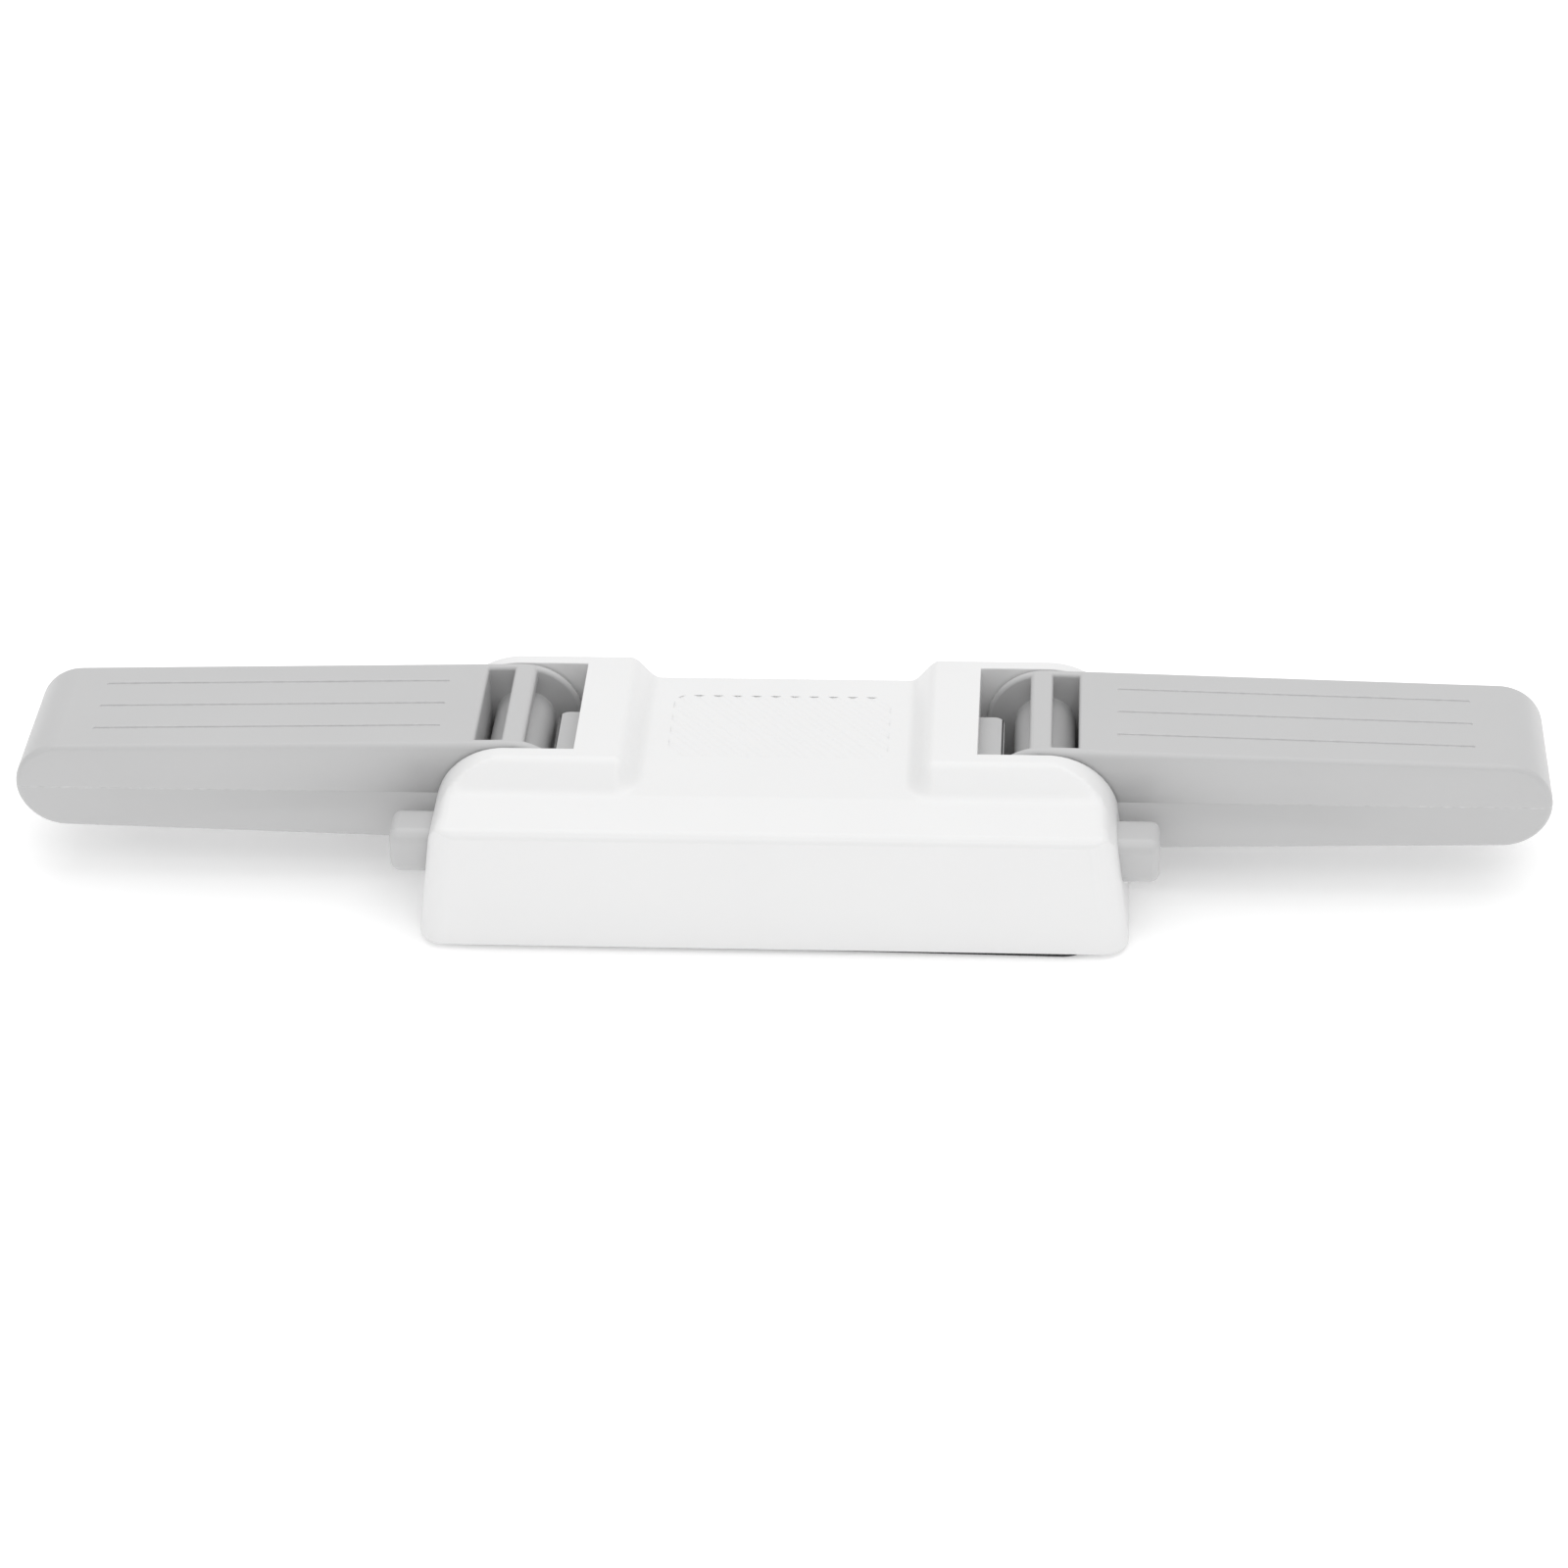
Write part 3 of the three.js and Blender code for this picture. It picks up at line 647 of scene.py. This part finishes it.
# ---------------------------------------------------------------------------------------------------
# Foot pad. Black closed-cell foam sheet with adhesive on both faces, die-cut with round corners and
# stuck on by hand a degree out of square, so that one front corner shows under the housing.
# ---------------------------------------------------------------------------------------------------

pad_low, pad_high = (in_millimetres(corner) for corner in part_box("foot_pad"))
pad_middle = (pad_low + pad_high) / 2
pad_half, pad_depth, pad_turn = 45.8, 19, -1
pad_outline = rectangle((-pad_half, -pad_depth), (pad_half, pad_depth), 4.5)
foam_pad = prism("foam_pad", pad_outline, "Z", pad_low.z, pad_high.z)
crooked = Matrix.Translation((0, pad_middle.y, 0)) @ Matrix.Rotation(math.radians(pad_turn), 4, "Z")
finish_mould(foam_pad, set_down @ crooked, rounding=0.12)

foam = bpy.data.materials.new("black_foam")
foam.use_nodes = True
nodes, wire = foam.node_tree.nodes, foam.node_tree.links.new
surface = nodes["Principled BSDF"]
surface.inputs["Sheen Weight"].default_value = 0.15
where, cells = nodes.new("ShaderNodeTexCoord"), nodes.new("ShaderNodeTexVoronoi")
cells.inputs["Scale"].default_value = 3000
wire(where.outputs["Object"], cells.inputs["Vector"])
shade = nodes.new("ShaderNodeMix")
shade.data_type = "RGBA"
shade.inputs["A"].default_value = (0.012, 0.012, 0.013, 1)
shade.inputs["B"].default_value = (0.05, 0.05, 0.052, 1)
wire(cells.outputs["Distance"], shade.inputs["Factor"])
wire(shade.outputs["Result"], surface.inputs["Base Color"])
surface.inputs["Roughness"].default_value = 0.85
pores = nodes.new("ShaderNodeBump")
pores.inputs["Distance"].default_value = 0.08 * mm
wire(cells.outputs["Distance"], pores.inputs["Height"])
wire(pores.outputs["Normal"], surface.inputs["Normal"])
dress(foam_pad, foam, "base", "foot_pad")

# ---------------------------------------------------------------------------------------------------
# Pivot pins. Plain turned steel, chamfered at both ends, pushed in from the room at the front of the
# base through the near wall of the bay and the arm's hub, to a blind hole in the far wall.
# ---------------------------------------------------------------------------------------------------

turned_steel = metal("turned_steel", (0.66, 0.66, 0.67), 0.14, 60, (10, 400, 10))
for word in ("left", "right"):
    pin_low, pin_high = (in_millimetres(corner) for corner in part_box(f"pivot_pin_{word}"))
    radius, length = (pin_high.x - pin_low.x) / 2, pin_high.y - pin_low.y
    chamfer = 0.4
    pin = turned(f"hinge_pin_{word}", [
        (0, 0), (radius - chamfer, 0), (radius, chamfer), (radius, length - chamfer),
        (radius - chamfer, length), (0, length),
    ])
    middle = (pin_low + pin_high) / 2
    lay = Matrix.Translation((middle.x, pin_low.y, middle.z)) @ Matrix.Rotation(math.radians(-90), 4, "X")
    finish_mould(pin, set_down @ lay, rounding=0.06, steps=2)
    dress(pin, turned_steel, "base", f"pivot_pin_{word}")

# ---------------------------------------------------------------------------------------------------
# Arms. Each is two shells of light grey ABS that meet on a fine seam along the middle: the upper one
# runs round the hinge as two round cheeks with a hub, a cross bar and a window between them, and the
# lower one is held from below by two screws at the bottom of deep counterbores.
# ---------------------------------------------------------------------------------------------------

# The second colour is the paler one painted along the outside edges as a highlight.
grey_abs = moulded_plastic("grey_abs", (0.535, 0.535, 0.537), (0.66, 0.66, 0.662), 0.02, 0.3, 0.5, 0.03)

# Millimetres from the pivot, with X pointing out along the arm.
arm_low, arm_high = (in_millimetres(corner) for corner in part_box("arm_shell_right"))
arm_half = arm_high.y
arm_reach = arm_high.x - pivot_x
nose, tip = pivot_x - arm_low.x, 6.85
arm_edge = 0.9
skin = 2.0
cheek = 9.4
hub = 4.4
bar_back, window_back, window_front = -2.15, 1.12, 4.86
hollow_start, seam_start, seam_gap = 9.4, 10.2, 0.02
screw_places = (19, 57)

taper = math.acos((nose - tip) / (arm_reach - tip))


def arm_body(name, inset, half_width, edge):
    """Blank of the arm, or of its hollow: a round nose and a round tip joined by two tapering faces."""
    inner, outer = nose - inset, tip - inset
    end = arm_reach - inset

    def face_height(x):
        return (inner - x * math.cos(taper)) / math.sin(taper)

    corners = [(-inner, -face_height(-inner), inner), (end, -face_height(end), outer),
               (end, face_height(end), outer), (-inner, face_height(-inner), inner)]
    return prism(name, corners, "Y", -half_width, half_width, steps=16, edge=edge)


def arm_hollow():
    """Room inside an arm, beyond the solid wall behind its window."""
    hollow = arm_body("hollow", skin, arm_half - skin - 0.25, 0)
    carve(hollow, [block("beyond", (hollow_start, -20, -20), (100, 20, 20))], "INTERSECT")
    return hollow


def on_cheek_rim(edge):
    """Whether an edge runs along the inner rim of a cheek, at the arm's outer surface."""
    return all(abs(abs(end.co.y) - cheek) < 0.01 and math.hypot(end.co.x, end.co.z) > nose - 0.1
               for end in edge.verts)


def soften(piece, chosen, radius):
    """Rounds the edges that a test picks out, by more than the mould's other edges."""
    shape = bmesh.new()
    shape.from_mesh(piece.data)
    bmesh.ops.remove_doubles(shape, verts=shape.verts[:], dist=1e-4)
    bmesh.ops.dissolve_limit(shape, angle_limit=math.radians(0.6), verts=shape.verts[:], edges=shape.edges[:])
    bmesh.ops.bevel(shape, geom=[edge for edge in shape.edges if chosen(edge)], offset=radius,
                    offset_type="OFFSET", segments=4, profile=0.5, affect="EDGES", material=-1)
    shape.to_mesh(piece.data)
    shape.free()


def arm_upper(name):
    """Upper shell with the whole of the hinge end."""
    roof = nose - skin
    room = block("hinge_room", (-20, -cheek, -20), (window_front, cheek, 20))
    carve(room, [
        block("bar", (bar_back, -20, roof), (window_back, 20, 20)),
        block("floor", (-5.4, -20, -20), (20, 20, -roof)),
        rod("hub", hub, (0, 1, 0), (0, -20, 0), 40, sides=64),
    ])
    shell = arm_body(name, 0, arm_half, arm_edge)
    carve(shell, [room, arm_hollow(), block("lower", (seam_start, -20, -20), (100, 20, 0))])
    carve(shell, [rod(f"boss_{x}", 2.5, (0, 0, 1), (x, 0, 0.3), 5.5) for x in screw_places], "UNION")
    holes = [rod(f"bore_{x}", 1.15, (0, 0, 1), (x, 0, -1), 6) for x in screw_places]
    groove_middle, groove_half, groove_wide, groove_deep, apart = 35.6, 25.25, 0.25, 0.22, 5.9
    groove = rectangle((-groove_half, -groove_wide), (groove_half, groove_wide), 0.2)
    height = (nose - groove_middle * math.cos(taper)) / math.sin(taper)
    for y in (-apart, 0, apart):
        line = prism(f"line_{y}", groove, "Z", -groove_deep, 1, steps=4)
        slope = Matrix.Rotation(math.pi / 2 - taper, 4, "Y")
        line.data.transform(Matrix.Translation((groove_middle, y, height)) @ slope)
        holes.append(line)
    carve(shell, [*holes, rod("pin_hole", 1.8, (0, 1, 0), (0, -20, 0), 40)])
    soften(shell, on_cheek_rim, 0.6)
    return shell


def arm_lower(name):
    """Lower shell with its two counterbored screw bosses."""
    shell = arm_body(name, 0, arm_half, arm_edge)
    carve(shell, [block("below", (seam_start + seam_gap, -20, -20), (100, 20, -seam_gap))], "INTERSECT")
    carve(shell, [arm_hollow()])
    carve(shell, [rod(f"boss_{x}", 3.3, (0, 0, 1), (x, 0, -6.6), 6.5) for x in screw_places], "UNION")
    holes = [rod(f"counterbore_{x}", 2.5, (0, 0, 1), (x, 0, -10), 6.6) for x in screw_places]
    holes += [rod(f"hole_{x}", 1.3, (0, 0, 1), (x, 0, -4), 5) for x in screw_places]
    carve(shell, holes)
    return shell


def on_seam(middle):
    """Whether a point lies on the closed seam between the two shells, which has no rounding to show."""
    return abs(middle.z) < 2 * seam_gap and middle.x > seam_start + 1


for side, word in ((-1, "left"), (1, "right")):
    mirror = Matrix.Diagonal((side, 1, 1, 1))
    at_pivot = set_down @ Matrix.Translation((side * pivot_x, 0, pivot_z)) @ mirror
    upper = arm_upper(f"arm_upper_{word}")
    finish_mould(upper, at_pivot, rounding=0.12, crisp=on_seam)
    dress(upper, grey_abs, f"arm_{word}", f"arm_shell_{word}")
    lower = arm_lower(f"arm_lower_{word}")
    finish_mould(lower, at_pivot, rounding=0.12, crisp=on_seam)
    dress(lower, grey_abs, f"arm_{word}", f"arm_cover_{word}")
    for number in (1, 2):
        screw(f"arm_fixing_{word}_{number}", f"arm_screw_{word}_{number}", f"arm_{word}", 1.2, 50 * number)

# ---------------------------------------------------------------------------------------------------
# Release buttons. One grey ABS moulding a side: a square push head with soft corners, a flange that
# stops against the inside of the wall, a bar, and the web whose top carries the tongue.
# ---------------------------------------------------------------------------------------------------

head_end = in_millimetres(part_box("release_button_right")[1]).x
button_near, button_far, button_foot, button_top = -21.4, -14.2, 7.6, 14.7
button_middle = ((button_near + button_far) / 2, 10.8)
web_back, web_front = 24.2, 26.2
flange_end = 46.3
tongue_near, tongue_far = -8.0, 4.3


def button_moulding(name):
    """Right-hand button: push head, flange, bar, web, the rail that carries the tongue, and the peg."""
    head_outline = rectangle((button_near, button_foot), (button_far, button_top), 1.8)
    slider = prism(name, head_outline, "X", flange_end - 1.3, head_end, steps=8, edge=1.3, edge_steps=6)
    carve(slider, [
        block("flange", (flange_end - 1.4, -22.9, 5.9), (flange_end, -13.7, 16.1)),
        block("bar", (web_front - 0.2, -20.4, 8.2), (flange_end - 1.2, -15.2, 13.4)),
        block("web", (web_back, -20.4, 3.4), (web_front, tongue_far - 0.6, 15.3)),
        block("rail", (web_back, tongue_near + 0.6, 15), (web_front, tongue_far - 0.6, 16.9)),
        rod("peg", 1.3, (1, 0, 0), (web_back - 2.4, *button_middle), 2.6, sides=32),
    ], "UNION")
    return slider


for side, word in ((-1, "left"), (1, "right")):
    button = button_moulding(f"push_button_{word}")
    finish_mould(button, set_down @ Matrix.Diagonal((side, 1, 1, 1)), rounding=0.15)
    dress(button, grey_abs, f"button_{word}", f"release_button_{word}")

# ---------------------------------------------------------------------------------------------------
# Latch tongues. A grey ABS block a side, clipped over the rail of the button, with round outer
# corners and a lightly broken nose. It stands in the arm's window when the arm is up.
# ---------------------------------------------------------------------------------------------------

tongue_low, tongue_high = (in_millimetres(corner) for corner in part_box("latch_tongue_right"))


def tongue_block(name):
    """Right-hand tongue, with the groove below that clips over the button's rail."""
    back, front = tongue_low.x, tongue_high.x
    corner = 1.5
    plan = [(back, tongue_far, 0), (back, tongue_near, 0),
            (front, tongue_near, corner), (front, tongue_far, corner)]
    made = prism(name, plan, "Z", tongue_low.z, tongue_high.z, steps=8)
    slope = 0.3
    nose_side = [(20, 10, 0), (40, 10, 0), (front, tongue_high.z - slope, 0),
                 (front - slope, tongue_high.z, 0), (20, tongue_high.z, 0)]
    carve(made, [prism("nose_side", nose_side, "Y", -20, 20)], "INTERSECT")
    carve(made, [block("groove", (web_back - 0.3, tongue_near + 0.3, 10),
                       (web_front + 0.3, tongue_far - 0.3, 17.2))])
    return made


for side, word in ((-1, "left"), (1, "right")):
    tongue = tongue_block(f"tongue_block_{word}")
    finish_mould(tongue, set_down @ Matrix.Diagonal((side, 1, 1, 1)), rounding=0.2)
    dress(tongue, grey_abs, f"button_{word}", f"latch_tongue_{word}")

# ---------------------------------------------------------------------------------------------------
# Button springs. Drawn music wire wound with a closed coil at each end, between a rib of the housing
# and the web of the button, with the button's peg inside it.
# ---------------------------------------------------------------------------------------------------

music_wire = metal("music_wire", (0.42, 0.42, 0.43), 0.28, 900, (1, 1, 1))


def coil_spring(name, start, end, middle, radius, wire_radius, turns):
    """Helix along X whose pitch tightens to a closed coil at each end."""
    shape = bmesh.new()
    around, sides = 28, 10
    steps = turns * around
    dead = 1 / turns
    coil_height = 2 * wire_radius / (end - start)
    rings = []
    for step in range(steps + 1):
        t = step / steps
        if t < dead:
            run = coil_height * t / dead
        elif t > 1 - dead:
            run = 1 - coil_height * (1 - t) / dead
        else:
            run = coil_height + (1 - 2 * coil_height) * (t - dead) / (1 - 2 * dead)
        turn = 2 * math.pi * turns * t
        ring = []
        for k in range(sides):
            a = 2 * math.pi * k / sides
            out = radius + wire_radius * math.cos(a)
            place = (start + (end - start) * run + wire_radius * math.sin(a),
                     middle[0] + out * math.cos(turn), middle[1] + out * math.sin(turn))
            ring.append(shape.verts.new(place))
        rings.append(ring)
    for here, there in zip(rings, rings[1:]):
        for k in range(sides):
            shape.faces.new((here[k - 1], here[k], there[k], there[k - 1]))
    shape.faces.new(rings[0])
    shape.faces.new(reversed(rings[-1]))
    bmesh.ops.recalc_face_normals(shape, faces=shape.faces[:])
    return piece_from(shape, name)


spring_low, spring_high = (in_millimetres(corner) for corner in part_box("button_spring_right"))
for side, word in ((-1, "left"), (1, "right")):
    wire_radius = 0.3
    coil = coil_spring(f"coil_spring_{word}", spring_low.x + wire_radius, spring_high.x - wire_radius,
                       button_middle, 2.2, wire_radius, 7)
    shape = bmesh.new()
    shape.from_mesh(coil.data)
    shape.transform(set_down @ Matrix.Diagonal((side, 1, 1, 1)))
    bmesh.ops.recalc_face_normals(shape, faces=shape.faces[:])
    for face in shape.faces:
        face.smooth = True
    shape.to_mesh(coil.data)
    shape.free()
    dress(coil, music_wire, "base", f"button_spring_{word}")
    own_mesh(coil)

# ---------------------------------------------------------------------------------------------------
# Stage: a plain pale table, soft light from above and in front, and a long lens a little to the right.
# ---------------------------------------------------------------------------------------------------

shape = bmesh.new()
bmesh.ops.create_grid(shape, x_segments=1, y_segments=1, size=3)
table = piece_from(shape, "table_top")
paper = bpy.data.materials.new("white_paper")
paper.use_nodes = True
surface = paper.node_tree.nodes["Principled BSDF"]
surface.inputs["Base Color"].default_value = (0.97, 0.97, 0.97, 1)
surface.inputs["Roughness"].default_value = 0.9
surface.inputs["Emission Color"].default_value = (1, 1, 1, 1)
surface.inputs["Emission Strength"].default_value = 0.19
table.data.materials.append(paper)

sky = bpy.data.worlds.new("studio")
sky.use_nodes = True
sky.node_tree.nodes["Background"].inputs["Color"].default_value = (1, 1, 1, 1)
sky.node_tree.nodes["Background"].inputs["Strength"].default_value = 0.75
bpy.context.scene.world = sky


def softbox(name, place, aim, width, depth, power):
    """Square cloth-fronted lamp that faces a point."""
    light = bpy.data.lights.new(name, "AREA")
    light.shape = "RECTANGLE"
    light.size, light.size_y = width, depth
    light.energy = power
    lamp = bpy.data.objects.new(name, light)
    lamp.location = place
    lamp.rotation_euler = (Vector(place) - Vector(aim)).to_track_quat("Z", "Y").to_euler()
    bpy.context.scene.collection.objects.link(lamp)


softbox("overhead", (0.1, 0.25, 1.1), (0, 0, 0), 1.4, 1.0, 4.7)
softbox("front", (0.1, -0.75, 1.1), (0, 0, 0), 0.7, 0.45, 1.5)

lens = bpy.data.cameras.new("camera")
lens.sensor_width = 36
lens.lens = 104.76
lens.clip_start = 0.01
camera = bpy.data.objects.new("camera", lens)
round_to_right, height_of_view, roll = 4.307, 33.928, -1.59
look = (Matrix.Rotation(math.radians(round_to_right), 4, "Z")
        @ Matrix.Rotation(math.radians(90 - height_of_view), 4, "X")
        @ Matrix.Rotation(math.radians(roll), 4, "Z"))
stand_off = Vector((0.00012, 0.008107, 0.668623))
camera.matrix_world = Matrix.Translation((0, arm_line, bottom_edge)) @ look @ Matrix.Translation(stand_off)
bpy.context.scene.collection.objects.link(camera)
bpy.context.scene.camera = camera
bpy.context.scene.view_settings.view_transform = "Standard"
